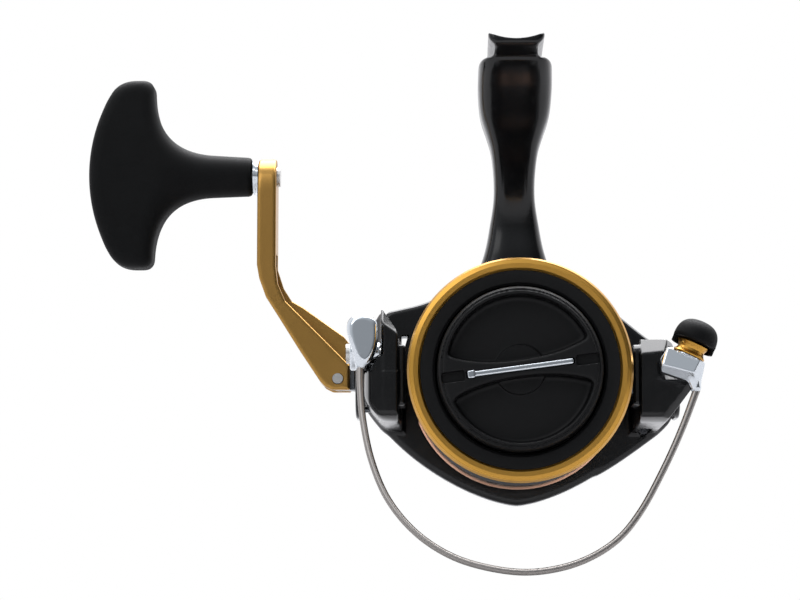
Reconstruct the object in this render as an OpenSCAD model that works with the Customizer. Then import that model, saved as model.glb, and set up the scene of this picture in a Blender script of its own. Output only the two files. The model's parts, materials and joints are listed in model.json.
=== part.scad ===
// Spinning reel with a folding T-knob crank, rotor, bail, oscillating spool and front drag.
// Millimetres. The rod seat's saddle is at the origin, +Z up, the spool faces -Y, the crank is at -X.
// Sub-parts are drawn in reel coordinates: Y runs back from the spool lip along the spool axis.

/* [Spool and axis] */
// outer diameter of the spool's front lip
lip_d = 58; // [57:0.5:59]
// height of the rod saddle above the spool axis
axis_drop = 91.4; // [90.4:0.5:92.4]
// distance from the spool lip back to the middle of the foot
foot_y = 55; // [52:1:58]

/* [Drive] */
// teeth of the crown gear
drive_teeth = 45; // [45]
// teeth of the pinion
pinion_teeth = 9; // [9]
// diameter of the main shaft
shaft_d = 4; // [3.6:0.1:4]

/* [Crank] */
// width of the crank arm along the spool axis
arm_w = 12; // [11:0.5:13]

/* [Bail] */
// diameter of the bail wire
wire_d = 1.7; // [1.5:0.1:1.9]

/* [Hidden] */
$fn = 64;
fit = 0.05;                      // running clearance on a radius
lip_r = lip_d / 2;
skirt_r = lip_r;
ring_r = skirt_r - 0.25;          // rear edge ring
shaft_r = shaft_d / 2;
drive_y = 90;                    // crank axis behind the lip
drive_z = 6.5;                   // crank axis above the spool axis
osc_y = 105;
osc_z = -2;
osc_reach = sqrt(pow(osc_y - drive_y, 2) + pow(osc_z - drive_z, 2));
pivot_y = 20;                    // bail pivot
pivot_z = 6;
pin_x = -50.7;                   // crank hinge pin
pin_z = 5.2;
knob_z = 65;                     // T-knob spindle
roller_lean = 23.5;              // the line roller's axis leans outwards
roller_at = [42.4, 7, 1.6];
roller_z = 2.7;                  // line roller along its leaning axis
roller_h = 3.4;

// ---------- helpers ----------

// lifts reel coordinates into the saddle's frame
module placed() {
    translate([0, -foot_y, -axis_drop]) children();
}

// cylinder along the spool axis from y1 back to y2
module y_cyl(r, y1, y2, x = 0, z = 0) {
    translate([x, y1, z]) rotate([-90, 0, 0]) cylinder(r = r, h = y2 - y1);
}

// cylinder along the crank axis from x1 to x2
module x_cyl(r, x1, x2, y = 0, z = 0) {
    translate([x1, y, z]) rotate([0, 90, 0]) cylinder(r = r, h = x2 - x1);
}

module y_ring(ro, ri, y1, y2) {
    rotate([-90, 0, 0]) translate([0, 0, y1]) rotate_extrude()
        translate([ri, 0]) square([ro - ri, y2 - y1]);
}

// body of revolution about the spool axis, profile points [radius, y]
module y_turned(points) {
    rotate([-90, 0, 0]) rotate_extrude() polygon(points);
}

// flat shape in XZ, made thick from y1 back to y2
module xz_plate(y1, y2) {
    translate([0, y2, 0]) rotate([90, 0, 0]) linear_extrude(y2 - y1) children();
}

// flat shape in YZ, made thick from x1 to x2
module yz_plate(x1, x2) {
    translate([x1, 0, 0]) rotate([90, 0, 90]) linear_extrude(x2 - x1) children();
}

module rounded_rect(x1, y1, x2, y2, r) {
    translate([x1 + r, y1]) square([x2 - x1 - 2 * r, y2 - y1]);
    translate([x1, y1 + r]) square([x2 - x1, y2 - y1 - 2 * r]);
    for (x = [x1 + r, x2 - r]) {
        for (y = [y1 + r, y2 - r]) {
            translate([x, y]) circle(r);
        }
    }
}

// closed superellipse: a, b half axes, e exponent, n points
function oval(a, b, e, n) = [for (i = [0:n - 1])
    let (c = cos(360 * i / n), s = sin(360 * i / n))
    [a * sign(c) * pow(abs(c), 2 / e), b * sign(s) * pow(abs(s), 2 / e)]];

// skin over a list of equal rings of 3-D points
module skin(rings) {
    n = len(rings[0]);
    m = len(rings);
    sides = [for (j = [0:m - 2]) for (i = [0:n - 1]) let (k = (i + 1) % n)
        each [[j * n + i, (j + 1) * n + i, j * n + k], [j * n + k, (j + 1) * n + i, (j + 1) * n + k]]];
    polyhedron(
        points = [for (r = rings) each r],
        faces = concat(sides, [[for (i = [0:n - 1]) i]], [[for (i = [n - 1:-1:0]) (m - 1) * n + i]]));
}

// turns +Z onto direction d
module aimed(p, d) {
    translate(p) rotate([0, acos(d[2] / norm(d)), atan2(d[1], d[0])]) children();
}

// ---------- fixed body ----------

wall = 2.5;
case_y1 = 60;
case_y2 = 121;
case_z1 = -20;
case_z2 = 31;
case_x = 15;
split_x = 3;
cover_z2 = 24;
cover_y1 = 66;
cover_y2 = 112;

module rounded_case(inset, r) {
    intersection() {
        yz_plate(-case_x + inset, case_x - inset)
            rounded_rect(case_y1 + inset, case_z1 + inset, case_y2 - inset, case_z2 - inset, r + 5);
        xz_plate(case_y1 + inset, case_y2 - inset)
            rounded_rect(-case_x + inset, case_z1 + inset, case_x - inset, case_z2 - inset, r);
    }
}

module case_cavity() {
    difference() {
        rounded_case(wall, 7);
        translate([-20, case_y1 - 1, -40]) cube([40, 7, 80]);
    }
}

cover_screw_at = [[71, -12.5], [71, 20.5], [107.5, 20.8], [97, -15.2]];
rear_screw_at = [-9.9, 20];

// stem rings: height, half width, front, back
stem_rings = [[26, 13, 61, 84], [33, 10.6, 61, 81.5], [38, 8.8, 61, 80], [47, 6.8, 61.5, 78],
    [54.8, 5.7, 60, 75], [64.5, 6.3, 54, 70], [69.3, 7.3, 50, 67.5], [73.8, 9, 46.5, 66.5],
    [81, 10.2, 43, 67], [86.6, 10.2, 42, 68], [93.3, 10.2, 42, 68]];

module stem() {
    skin([for (s = stem_rings)
        let (mid = (s[2] + s[3]) / 2)
        [for (p = oval(s[1], (s[3] - s[2]) / 2, 2.8, 32)) [p[0], mid + p[1], s[0]]]]);
}

module foot() {
    intersection() {
        yz_plate(-12, 12) polygon([[22, 93.3], [22, 90.4], [24, 89.6], [42, 87.1], [68, 87.1],
            [86, 89.6], [88, 90.4], [88, 93.3]]);
        translate([0, 0, 80]) linear_extrude(20) rounded_rect(-7.4, 22, 7.4, 88, 6.5);
    }
}

module body_frame() {
    color([0.12, 0.12, 0.13]) placed() difference() {
        union() {
            difference() {
                rounded_case(0, 9);
                translate([split_x, cover_y1, case_z1 - 1])
                    cube([20, cover_y2 - cover_y1, cover_z2 - case_z1 + 1]);
                translate([-20, cover_y2, case_z1 - 1]) cube([40, 20, 60]);
                case_cavity();
            }
            difference() {
                stem();
                translate([-20, 55, 20]) cube([40, 40, case_z2 - wall - 20 + 0.5]);
            }
            foot();
            // bearing boss on the crank side
            x_cyl(9, -19.5, -12.6, drive_y, drive_z);
            // front boss that carries the clutch
            y_cyl(13.5, 56, 61);
            // pillars for the cover screws
            for (p = cover_screw_at) {
                x_cyl(2.2, -13, split_x, p[0], p[1]);
            }
            y_cyl(2.3, 103, cover_y2, rear_screw_at[0], rear_screw_at[1]);
            // rib under the guide rod's front end
            translate([-1.8, 84, -18]) cube([3.6, 4, 12]);
        }
        // rod saddle
        translate([0, foot_y - 60, axis_drop + 18]) rotate([-90, 0, 0]) cylinder(r = 18, h = 120);
        // pinion bearing pocket, clutch bore and pinion passage
        y_cyl(6.52, 62, 67);
        y_cyl(5.4, 55, 68);
        // crank bearing pocket and passage
        x_cyl(6.52, -17.5, -12, drive_y, drive_z);
        x_cyl(4.2, -20, -12, drive_y, drive_z);
        for (p = cover_screw_at) {
            x_cyl(1.15, -6, split_x + 1, p[0], p[1]);
        }
        y_cyl(0.95, 104.5, cover_y2 + 1, rear_screw_at[0], rear_screw_at[1]);
        y_cyl(1.22, 83, 89, 0, -8.5);
    }
}

module side_cover() {
    color([0.12, 0.12, 0.13]) placed() difference() {
        union() {
            difference() {
                intersection() {
                    rounded_case(0, 9);
                    translate([split_x + 0.02, cover_y1 + 0.02, case_z1 - 1])
                        cube([20, cover_y2 - cover_y1 - 0.04, cover_z2 - case_z1 + 0.98]);
                }
                case_cavity();
            }
            x_cyl(9, 12.6, 19.5, drive_y, drive_z);
            for (p = cover_screw_at) {
                x_cyl(2.2, split_x + 0.02, 13.2, p[0], p[1]);
            }
            // boss for the oscillation gear's axle
            x_cyl(3, 11.2, 13, osc_y, osc_z);
        }
        x_cyl(6.52, 12, 17.5, drive_y, drive_z);
        x_cyl(4.2, 12, 20, drive_y, drive_z);
        for (p = cover_screw_at) {
            x_cyl(1.2, split_x - 1, 20, p[0], p[1]);
            x_cyl(2.15, 12.6, 20, p[0], p[1]);
        }
        x_cyl(1.5, 11, 13.8, osc_y, osc_z);
    }
}

module side_cover_screws() {
    color([0.55, 0.56, 0.58]) placed() for (p = cover_screw_at) {
        difference() {
            union() {
                x_cyl(1.1, -5.5, 12.7, p[0], p[1]);
                x_cyl(2.05, 12.65, 13.9, p[0], p[1]);
            }
            for (a = [0, 90]) {
                translate([13.4, p[0], p[1]]) rotate([a, 0, 0])
                    translate([0, -1.3, -0.25]) cube([1, 2.6, 0.5]);
            }
        }
    }
}

module rear_cover() {
    color([0.14, 0.14, 0.15]) placed() difference() {
        union() {
            difference() {
                intersection() {
                    rounded_case(0, 9);
                    translate([-20, cover_y2 + 0.02, case_z1 - 1]) cube([40, 20, 60]);
                }
                case_cavity();
            }
            y_cyl(2.3, cover_y2 + 0.02, 118.6, rear_screw_at[0], rear_screw_at[1]);
            // socket for the guide rod
            y_cyl(2.2, 117.6, 119, 0, -8.5);
        }
        y_cyl(1.2, cover_y2 - 1, 122, rear_screw_at[0], rear_screw_at[1]);
        y_cyl(2.1, 117.2, 122, rear_screw_at[0], rear_screw_at[1]);
        y_cyl(1.22, 116, 119.5, 0, -8.5);
    }
}

module rear_cover_screw() {
    color([0.55, 0.56, 0.58]) placed() difference() {
        union() {
            y_cyl(0.9, 105, 117.3, rear_screw_at[0], rear_screw_at[1]);
            y_cyl(2, 117.25, 118.6, rear_screw_at[0], rear_screw_at[1]);
        }
        for (a = [0, 90]) {
            translate([rear_screw_at[0], 118, rear_screw_at[1]]) rotate([0, a, 0])
                translate([-1.3, 0, -0.25]) cube([2.6, 1, 0.5]);
        }
    }
}

module handle_port_cap() {
    color([0.15, 0.15, 0.16]) placed() difference() {
        union() {
            x_cyl(8.6, 19.52, 22, drive_y, drive_z);
            x_cyl(7.6, 21.9, 23.2, drive_y, drive_z);
            x_cyl(4.15, 18.7, 19.6, drive_y, drive_z);
        }
        translate([22.4, drive_y - 5, drive_z - 0.8]) cube([2, 10, 1.6]);
        for (i = [0:11]) {
            translate([0, drive_y, drive_z]) rotate([i * 30, 0, 0]) x_cyl(0.7, 19, 22.5, 8.9, 0);
        }
    }
}

// ball bearing with recessed shields, along the crank axis
module shielded_bearing(ro, ri, w) {
    difference() {
        cylinder(r = ro, h = w);
        translate([0, 0, -1]) cylinder(r = ri, h = w + 2);
        for (z = [-0.7, w - 0.3]) {
            translate([0, 0, z]) rotate_extrude()
                translate([ri + 0.8, 0]) square([ro - ri - 1.6, 1]);
        }
    }
}

module drive_gear_bearings() {
    color([0.62, 0.63, 0.65]) placed() for (x = [-17.5, 13.5]) {
        translate([x, drive_y, drive_z]) rotate([0, 90, 0]) shielded_bearing(6.5, 3.5 + fit, 4);
    }
}

module pinion_bearing() {
    color([0.62, 0.63, 0.65]) placed()
        translate([0, 62, 0]) rotate([-90, 0, 0]) shielded_bearing(6.5, 3.4 + fit, 4);
}

module bearing_retainer() {
    color([0.6, 0.6, 0.62]) placed() difference() {
        y_ring(6.5, 4.8, 66.02, 66.9);
        translate([-1, 66, 4]) cube([2, 2, 4]);
    }
}

module one_way_clutch() {
    color([0.5, 0.5, 0.52]) placed() difference() {
        y_turned([[5.3 + fit, 48], [11.2, 48], [11.8, 48.6], [11.8, 53.2], [13.2, 53.6], [13.2, 55.98],
            [5.3 + fit, 55.98]]);
        for (i = [0:5]) {
            rotate([0, i * 60 + 15, 0]) y_cyl(0.8, 52, 57, 12.4, 0);
        }
        // roller tracks around the bore
        for (i = [0:7]) {
            rotate([0, i * 45, 0]) y_cyl(0.9, 49.5, 54.5, 6, 0);
        }
    }
}

// ---------- crank, crown gear and spindle ----------

crown_r1 = 15.7;
crown_r2 = 18.3;

// a crown tooth is a tapered rib, parallel to the pinion where the two meet
module crown_tooth() {
    translate([0, -crown_r1, -drive_z]) rotate([90, 0, 0]) linear_extrude(crown_r2 - crown_r1)
        polygon([[-4.5, -0.4], [-3.05, -0.225], [-3.05, 0.225], [-4.5, 0.4]]);
}

module drive_gear() {
    color([0.72, 0.6, 0.3]) placed() translate([0, drive_y, drive_z]) difference() {
        union() {
            x_cyl(20, -7.4, -4.35);
            x_cyl(6, -11.8, -7.2);
            for (i = [0:drive_teeth - 1]) {
                rotate([i * 360 / drive_teeth, 0, 0]) crown_tooth();
            }
        }
        x_cyl(3.5, -13, 0);
        x_cyl(14.6, -5.6, -3);
        for (i = [0:5]) {
            rotate([i * 60, 0, 0]) x_cyl(2.6, -9, -3, 10.4, 0);
        }
    }
}

// straight gear with tapered teeth, axis +Z, tooth 0 along +X
module thin_gear(teeth, root_r, tip_r, root_w, tip_w, h) {
    half_root = asin(root_w / 2 / root_r);
    half_tip = asin(tip_w / 2 / tip_r);
    linear_extrude(h) polygon([for (i = [0:teeth - 1]) let (a = i * 360 / teeth)
        each [root_r * [cos(a - half_root), sin(a - half_root)],
            tip_r * [cos(a - half_tip), sin(a - half_tip)],
            tip_r * [cos(a + half_tip), sin(a + half_tip)],
            root_r * [cos(a + half_root), sin(a + half_root)]]]);
}

small_teeth = 16;
osc_teeth = 32;
small_r = osc_reach * small_teeth / (small_teeth + osc_teeth);
osc_r = osc_reach - small_r;
mesh_angle = atan2(osc_z - drive_z, osc_y - drive_y);

// gear that turns about the crank axis; tooth 0 points along angle a in the YZ plane
module x_gear(x, y, z, a) {
    translate([x, y, z]) rotate([a, 0, 0])
        multmatrix([[0, 0, 1, 0], [1, 0, 0, 0], [0, 1, 0, 0], [0, 0, 0, 1]]) children();
}

module drive_shaft() {
    color([0.62, 0.62, 0.64]) placed() difference() {
        union() {
            x_cyl(3.5, -20.6, 18.4, drive_y, drive_z);
            x_gear(8.2, drive_y, drive_z, mesh_angle)
                thin_gear(small_teeth, small_r - 0.95, small_r + 0.6, 1.05, 0.6, 2.6);
        }
        x_cyl(2.3, -21, 11, drive_y, drive_z);
    }
}

module crank_spindle() {
    color([0.7, 0.7, 0.72]) placed() difference() {
        x_cyl(2.25, -43, 10, drive_y, drive_z);
        x_cyl(0.8, -44, -39, drive_y, drive_z);
    }
}

module crank_hub() {
    color([0.16, 0.17, 0.19]) placed() difference() {
        union() {
            translate([-21, drive_y, drive_z]) rotate([0, -90, 0])
                rotate_extrude() polygon([[0, 0], [7.2, 0], [7.6, 0.5], [7.6, 3.2], [6.2, 5], [4.6, 9],
                    [4.2, 13], [4.2, 22], [5.2, 22.4], [5.2, 24.6], [4.6, 25], [0, 25]]);
            // tongue held between the arm's cheeks
            translate([-51, drive_y - 2.9, pin_z - 3]) cube([6, 5.8, 6]);
            y_cyl(3, drive_y - 2.9, drive_y + 2.9, pin_x, pin_z);
        }
        x_cyl(2.25, -43, 0, drive_y, drive_z);
        x_cyl(3.6, -20.8, 0, drive_y, drive_z);
        y_cyl(1.55, drive_y - 4, drive_y + 4, pin_x, pin_z);
    }
}

module hinge_pin() {
    color([0.5, 0.51, 0.53]) placed() {
        y_cyl(1.5, drive_y - arm_w / 2 - 0.4, drive_y + arm_w / 2 + 0.4, pin_x, pin_z);
    }
}

// crank arm in side view: outer edge, then the inner edge of the near or far cheek
arm_outer = [[-68.8, 71], [-73.4, 71], [-74.3, 70.1], [-74.3, 38.5], [-73.6, 34.5], [-71.6, 29],
    [-68.4, 24], [-62, 13.8], [-55.9, 4.6], [-54.4, 3], [-52.4, 2], [-47.4, 2]];
near_edge = [[-47.2, 2.4], [-47.2, 9], [-66, 27.9], [-68.2, 33], [-68.8, 38]];
far_edge = [[-47.2, 2.4], [-47.2, 15.5], [-49.3, 18.2], [-61.3, 26.8], [-64.6, 28.7], [-67, 32.5],
    [-68.8, 38]];

module crank_arm() {
    color([0.69, 0.5, 0.2]) placed() difference() {
        union() {
            intersection() {
                xz_plate(drive_y - arm_w / 2, drive_y) polygon(concat(arm_outer, near_edge));
                yz_plate(-80, -40) rounded_rect(drive_y - arm_w / 2, -20, drive_y + arm_w / 2, 71, 5.9);
            }
            intersection() {
                xz_plate(drive_y, drive_y + arm_w / 2) polygon(concat(arm_outer, far_edge));
                yz_plate(-80, -40) rounded_rect(drive_y - arm_w / 2, -20, drive_y + arm_w / 2, 71, 5.9);
            }
        }
        // channel between the cheeks
        xz_plate(drive_y - 3.1, drive_y + 3.1)
            polygon([[-44, -2], [-53.4, -2], [-55.6, 8.5], [-58.6, 13], [-64.2, 22], [-69.6, 31],
                [-71, 36], [-71.3, 42], [-68, 42], [-60, 36], [-44, 24]]);
        y_cyl(1.5, drive_y - 10, drive_y + 10, pin_x, pin_z);
        x_cyl(2, -76, -66, drive_y, knob_z);
    }
}

module knob_spindle() {
    color([0.7, 0.7, 0.72]) placed() {
        x_cyl(2, -111, -68.8, drive_y, knob_z);
        x_cyl(2.9, -68.78, -67.9, drive_y, knob_z);
        x_cyl(3.4, -112.2, -111, drive_y, knob_z);
    }
}

module knob_washer() {
    color([0.75, 0.75, 0.77]) placed() difference() {
        union() {
            x_cyl(4.6, -75.1, -74.32, drive_y, knob_z);
            x_cyl(5.3, -75.7, -75.08, drive_y, knob_z);
        }
        x_cyl(2, -80, -70, drive_y, knob_z);
    }
}

module knob_bushing() {
    color([0.85, 0.85, 0.82]) placed() for (x = [-80.5, -110.9]) {
        difference() {
            x_cyl(3.6, x, x + 4.5, drive_y, knob_z);
            x_cyl(2 + fit, x - 1, x + 6, drive_y, knob_z);
        }
    }
}

// T-knob rings along its spindle: x, half height, half thickness
knob_rings = [[-76, 4.7, 4.7], [-77.6, 5.7, 5.7], [-85.2, 6.2, 5.7], [-92.3, 6.9, 5.9], [-97, 8.2, 6.3],
    [-100.5, 11, 6.8], [-103, 15, 7.1], [-104.3, 20.5, 6.8], [-105, 24.3, 6.4], [-106.6, 26.6, 6.4],
    [-109, 27.6, 6.8], [-113.2, 27.6, 7.2], [-115.8, 26.6, 7.2], [-118.6, 22.4, 6.7], [-121.3, 15, 5.6],
    [-122.9, 9, 4], [-123.7, 4, 2]];

// the knob's middle rises a little towards its outer end
function knob_rise(x) = knob_z + 0.6 * (-76 - x) / 47;

module handle_knob() {
    color([0.1, 0.1, 0.1]) placed() difference() {
        skin([for (k = [len(knob_rings) - 1:-1:0]) let (r = knob_rings[k])
            [for (p = oval(r[2], r[1], 2.2, 32)) [r[0], drive_y + p[0], knob_rise(r[0]) + p[1]]]]);
        x_cyl(3.62, -81, -75, drive_y, knob_z);
        x_cyl(2.6, -112, -75, drive_y, knob_z);
        x_cyl(3.62, -115.5, -106.4, drive_y, knob_z);
    }
}

// ---------- oscillation ----------

module oscillation_gear() {
    color([0.85, 0.82, 0.72]) placed() difference() {
        union() {
            x_gear(8.5, osc_y, osc_z, mesh_angle + 180 + 180 / osc_teeth)
                thin_gear(osc_teeth, osc_r - 0.95, osc_r + 0.6, 1.05, 0.6, 2);
            // crank pin for the slider's slot
            x_cyl(1.4, 7.3, 9, osc_y, osc_z - 8);
        }
        x_cyl(1.45 + fit, 5, 12, osc_y, osc_z);
        for (i = [0:3]) {
            translate([0, osc_y, osc_z]) rotate([i * 90 + 45, 0, 0]) x_cyl(2, 5, 12, 6, 0);
        }
    }
}

module oscillation_axle() {
    color([0.6, 0.6, 0.62]) placed() {
        x_cyl(1.45, 7.6, 13.6, osc_y, osc_z);
    }
}

module slider_guide_rod() {
    color([0.65, 0.65, 0.67]) placed() {
        y_cyl(1.2, 83.4, 119.3, 0, -8.5);
    }
}

module oscillation_slider() {
    color([0.6, 0.6, 0.58]) placed() difference() {
        translate([-2.7, 102, -12.5]) cube([9.7, 6, 20.8]);
        y_cyl(2.02, 101, 107, 0, 0);
        y_cyl(1.25, 101, 109, 0, 0);
        y_cyl(1.2 + fit, 101, 109, 0, -8.5);
        // slot for the crank pin
        translate([5.2, 103.4, -11.6]) cube([3, 3.2, 19]);
    }
}

module slider_screw() {
    color([0.55, 0.56, 0.58]) placed() {
        y_cyl(1.2, 103.6, 108.02, 0, 0);
        y_cyl(2.2, 108, 109.2, 0, 0);
    }
}

module main_shaft() {
    color([0.72, 0.72, 0.74]) placed() difference() {
        y_cyl(shaft_r, 3, 107, 0, 0);
        y_cyl(1.22, 103.4, 108, 0, 0);
    }
}

// ---------- rotor ----------

module pinion_gear() {
    color([0.75, 0.6, 0.3]) placed() difference() {
        union() {
            y_cyl(3.4, 38.2, 71);
            translate([0, 70.9, 0]) rotate([-90, 0, 0]) rotate(180 + 180 / pinion_teeth)
                thin_gear(pinion_teeth, 2.85, 4, 0.85, 0.5, 3.9);
        }
        y_cyl(shaft_r + fit, 30, 80);
    }
}

module clutch_sleeve() {
    color([0.66, 0.66, 0.68]) placed() y_ring(5.3, 3.4, 46, 61.5);
}

module rotor_nut() {
    color([0.7, 0.7, 0.72]) placed() difference() {
        translate([0, 38.4, 0]) rotate([-90, 0, 0]) cylinder(r = 6.6, h = 3, $fn = 6);
        y_cyl(3.4, 30, 45);
    }
}

// side view of a rotor arm: underside and top of its tip, then of its root
module arm_side(low, high, root_low, root_high) {
    polygon([[58, root_low], [51.5, root_low], [37, low - 1], [18, low], [14, low + 4],
        [14, high - 4], [17, high], [34, high], [51.5, root_high], [58, root_high]]);
}

module arm_plan(points) {
    translate([0, 0, -30]) linear_extrude(60) polygon(points);
}

rotor_screw_at = [34.7, -12];
// corners of the base, seen from the front; each arm stays inside its corner
left_corner = [[-22, 23.8], [-35.5, 20.8], [-40, 14], [-43, 5], [-43, -1.5], [-40.8, -6.3], [-36.2, -11.8],
    [-24, -14], [-20, 5]];
right_corner = [[22, -23.8], [30.7, -19.8], [36.5, -15.6], [41, -12.3], [43.5, -8], [43.5, 4], [42, 9.4],
    [37.5, 12.6], [24, 19], [20, -5]];
cover_screw_y = 49.5;
cover_screw_z = -6.5;

module rotor() {
    color([0.13, 0.13, 0.14]) placed() difference() {
        union() {
            // base plate with the two corners that carry the arms
            difference() {
                xz_plate(51.5, 58) {
                    polygon(oval(43, 32.7, 1.5, 72));
                    polygon(left_corner);
                    polygon(right_corner);
                }
                y_cyl(23.4, 44.6, 60);
            }
            // drum inside the spool's skirt
            y_turned([[3.4, 41.5], [24.6, 41.5], [25.4, 42.3], [25.4, 54], [23.2, 54], [23.2, 45],
                [3.4, 45]]);
            // left arm, flat beside the bail's holder
            intersection() {
                yz_plate(-43, -30.6) arm_side(-10, 13.5, -13, 20.7);
                xz_plate(10, 58) polygon(left_corner);
                arm_plan([[-30.6, 14], [-35.4, 14], [-36.2, 16], [-36.2, 33], [-41.4, 40], [-43, 46],
                    [-43, 58], [-30.6, 58]]);
            }
            // right arm
            intersection() {
                yz_plate(30.6, 43) arm_side(-9.5, 9.4, -13, 12.6);
                xz_plate(10, 58) polygon(right_corner);
                arm_plan([[30.6, 14], [39, 14], [41.4, 18], [42.2, 28], [43, 42], [43, 58], [30.6, 58]]);
            }
        }
        // bail pivots
        x_cyl(1.52, -44, -30, pivot_y, pivot_z);
        x_cyl(1.52, 30, 44, pivot_y, pivot_z);
        for (s = [-1, 1]) {
            // pocket in each arm, its cover's seat and its screw
            translate([s * 42 - 4.5, 37, -4.5]) cube([9, 11, 9]);
            translate([s > 0 ? 42.2 : -45.2, 34, -10]) cube([3, 19, 20]);
            x_cyl(0.82, s > 0 ? 38 : -43, s > 0 ? 43 : -38, cover_screw_y, cover_screw_z);
        }
        // spring seat beside the right pivot
        x_cyl(4.2, 36.4, 44, pivot_y, pivot_z);
        y_cyl(0.82, 50, 56.5, rotor_screw_at[0], rotor_screw_at[1]);
        y_cyl(1.4, 45, 51.5, rotor_screw_at[0], rotor_screw_at[1]);
    }
}

// cover plate on the outside of an arm; s is the side
module arm_cover(s) {
    difference() {
        intersection() {
            translate([s > 0 ? 42.22 : -43.6, 34.2, -9.8]) cube([1.38, 18.6, 19.6]);
            yz_plate(-50, 50) rounded_rect(34.2, -9.8, 52.8, 9.8, 4);
        }
        x_cyl(0.95, s > 0 ? 40 : -46, s > 0 ? 46 : -40, cover_screw_y, cover_screw_z);
        x_cyl(1.75, s > 0 ? 43 : -46, s > 0 ? 46 : -43, cover_screw_y, cover_screw_z);
    }
}

module arm_cover_left() {
    color([0.14, 0.14, 0.15]) placed() arm_cover(-1);
}

module arm_cover_right() {
    color([0.14, 0.14, 0.15]) placed() arm_cover(1);
}

module arm_cover_screws() {
    color([0.5, 0.5, 0.52]) placed() for (s = [-1, 1]) {
        mirror([s > 0 ? 0 : 1, 0, 0]) {
            x_cyl(0.8, 38.4, 43.05, cover_screw_y, cover_screw_z);
            x_cyl(1.7, 43.02, 43.7, cover_screw_y, cover_screw_z);
        }
    }
}

// screw in the front of the rotor's right corner
module rotor_screw() {
    color([0.12, 0.12, 0.12]) placed() difference() {
        union() {
            y_cyl(0.8, 51, 56.4, rotor_screw_at[0], rotor_screw_at[1]);
            y_cyl(1.3, 50.7, 51.48, rotor_screw_at[0], rotor_screw_at[1]);
        }
        translate([rotor_screw_at[0] - 0.8, 50, rotor_screw_at[1] - 0.2]) cube([1.6, 1, 0.4]);
    }
}

// flat coil around the right pivot
module bail_spring() {
    color([0.6, 0.6, 0.62]) placed() for (i = [0:2]) {
        translate([36.9 + i * 0.75, pivot_y, pivot_z]) rotate([0, 90, 0])
            rotate_extrude() translate([3.4, 0]) circle(r = 0.32, $fn = 16);
    }
}

module bail_pivot_screws() {
    color([0.6, 0.6, 0.62]) placed() {
        x_cyl(1.5, 31, 46.2, pivot_y, pivot_z);
        x_cyl(3, 46.2, 47.2, pivot_y, pivot_z);
        x_cyl(1.5, -44.4, -31, pivot_y, pivot_z);
        x_cyl(2.6, -45.4, -44.4, pivot_y, pivot_z);
    }
}

// ---------- bail ----------

wire_end = [45.4, 6.6, -5];
wire_points = [[-41.4, 12, 1.9], [-41.3, 10.4, -4], [-40.4, 7.6, -13], [-38, 3.6, -23.5],
    [-33.6, -0.5, -33.5], [-26.4, -4, -42], [-17, -6.2, -48], [-6, -7.4, -51.1], [4, -7.4, -51.6],
    [14.5, -6.2, -49.2], [23.6, -4, -44], [30.2, -1, -36.4], [36.4, 2, -25.5], [41.4, 4.6, -15],
    [45.4, 6.6, -5]];

// smooth curve through the points, four steps a span
function spline(p, i, t) = let (
    a = p[max(i - 1, 0)], b = p[i], c = p[i + 1], d = p[min(i + 2, len(p) - 1)])
    0.5 * (2 * b + (c - a) * t + (2 * a - 5 * b + 4 * c - d) * t * t + (3 * b - a - 3 * c + d) * t * t * t);
wire_path = concat(
    [for (i = [0:len(wire_points) - 2]) for (k = [0:3]) spline(wire_points, i, k / 4)], [wire_end]);

function unit(v) = v / norm(v);
function tangent(p, i) = unit(p[min(i + 1, len(p) - 1)] - p[max(i - 1, 0)]);
wire_exit = tangent(wire_path, len(wire_path) - 1);

module bail_wire() {
    side = [0, 1, 0];
    color([0.6, 0.59, 0.57]) placed() skin([for (i = [0:len(wire_path) - 1])
        let (t = tangent(wire_path, i), u = unit(cross(t, side)), v = cross(t, u),
            r = wire_d / 2 * (1 + 0.18 * exp(-i / 5) + 0.15 * exp(-(len(wire_path) - 1 - i) / 5)))
        [for (k = [0:11]) wire_path[i] + r * cos(30 * k) * u + r * sin(30 * k) * v]]);
}

module bail_wire_holder() {
    color([0.72, 0.75, 0.79]) placed() difference() {
        union() {
            hull() {
                translate([-41, 15, 11.3]) scale([1, 1.1, 1.2]) sphere(r = 4.4, $fn = 32);
                translate([-41.2, 13.2, 6.5]) sphere(r = 3.2, $fn = 32);
                aimed(wire_path[0], -tangent(wire_path, 0)) cylinder(r = 1.5, h = 1, $fn = 32);
            }
            x_cyl(4.6, -44.38, -36.5, pivot_y, pivot_z);
        }
        x_cyl(1.5 + fit, -46, -36, pivot_y, pivot_z);
        x_cyl(3, -50, -44.38, pivot_y, pivot_z);
    }
}

module in_roller_frame() {
    translate(roller_at) rotate([0, roller_lean, 0]) children();
}

module wire_end_block() {
    color([0.75, 0.76, 0.78]) placed() {
        difference() {
            union() {
                in_roller_frame() hull() {
                    translate([-5.9, -3.6, -0.8]) cube([11, 7.2, 3.2]);
                    translate([-4.2, -2.6, -3.9]) cube([9, 5.4, 1]);
                }
                hull() {
                    aimed(wire_end, wire_exit) cylinder(r = 1.5, h = 1, $fn = 32);
                    in_roller_frame() translate([0.2, -2.2, -3.2]) cube([3.4, 4.6, 2]);
                }
            }
            in_roller_frame() translate([0, 0, -1.6]) cylinder(r = 1.2, h = 6);
            aimed(wire_end, -wire_exit) cylinder(r = 3, h = 4);
        }
    }
}

module line_roller() {
    color([0.75, 0.55, 0.2]) placed() in_roller_frame()
        translate([0, 0, roller_z]) rotate_extrude() polygon([[2.2, 0], [4.1, 0], [4.3, 0.3], [3.7, 1.1],
            [3.5, 1.7], [3.7, 2.3], [4.3, 3.1], [4.1, roller_h], [2.2, roller_h]]);
}

module roller_bushing() {
    color([0.8, 0.8, 0.78]) placed() in_roller_frame() difference() {
        translate([0, 0, roller_z]) cylinder(r = 2.2, h = roller_h);
        cylinder(r = 1.2 + fit, h = 10);
    }
}

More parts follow.
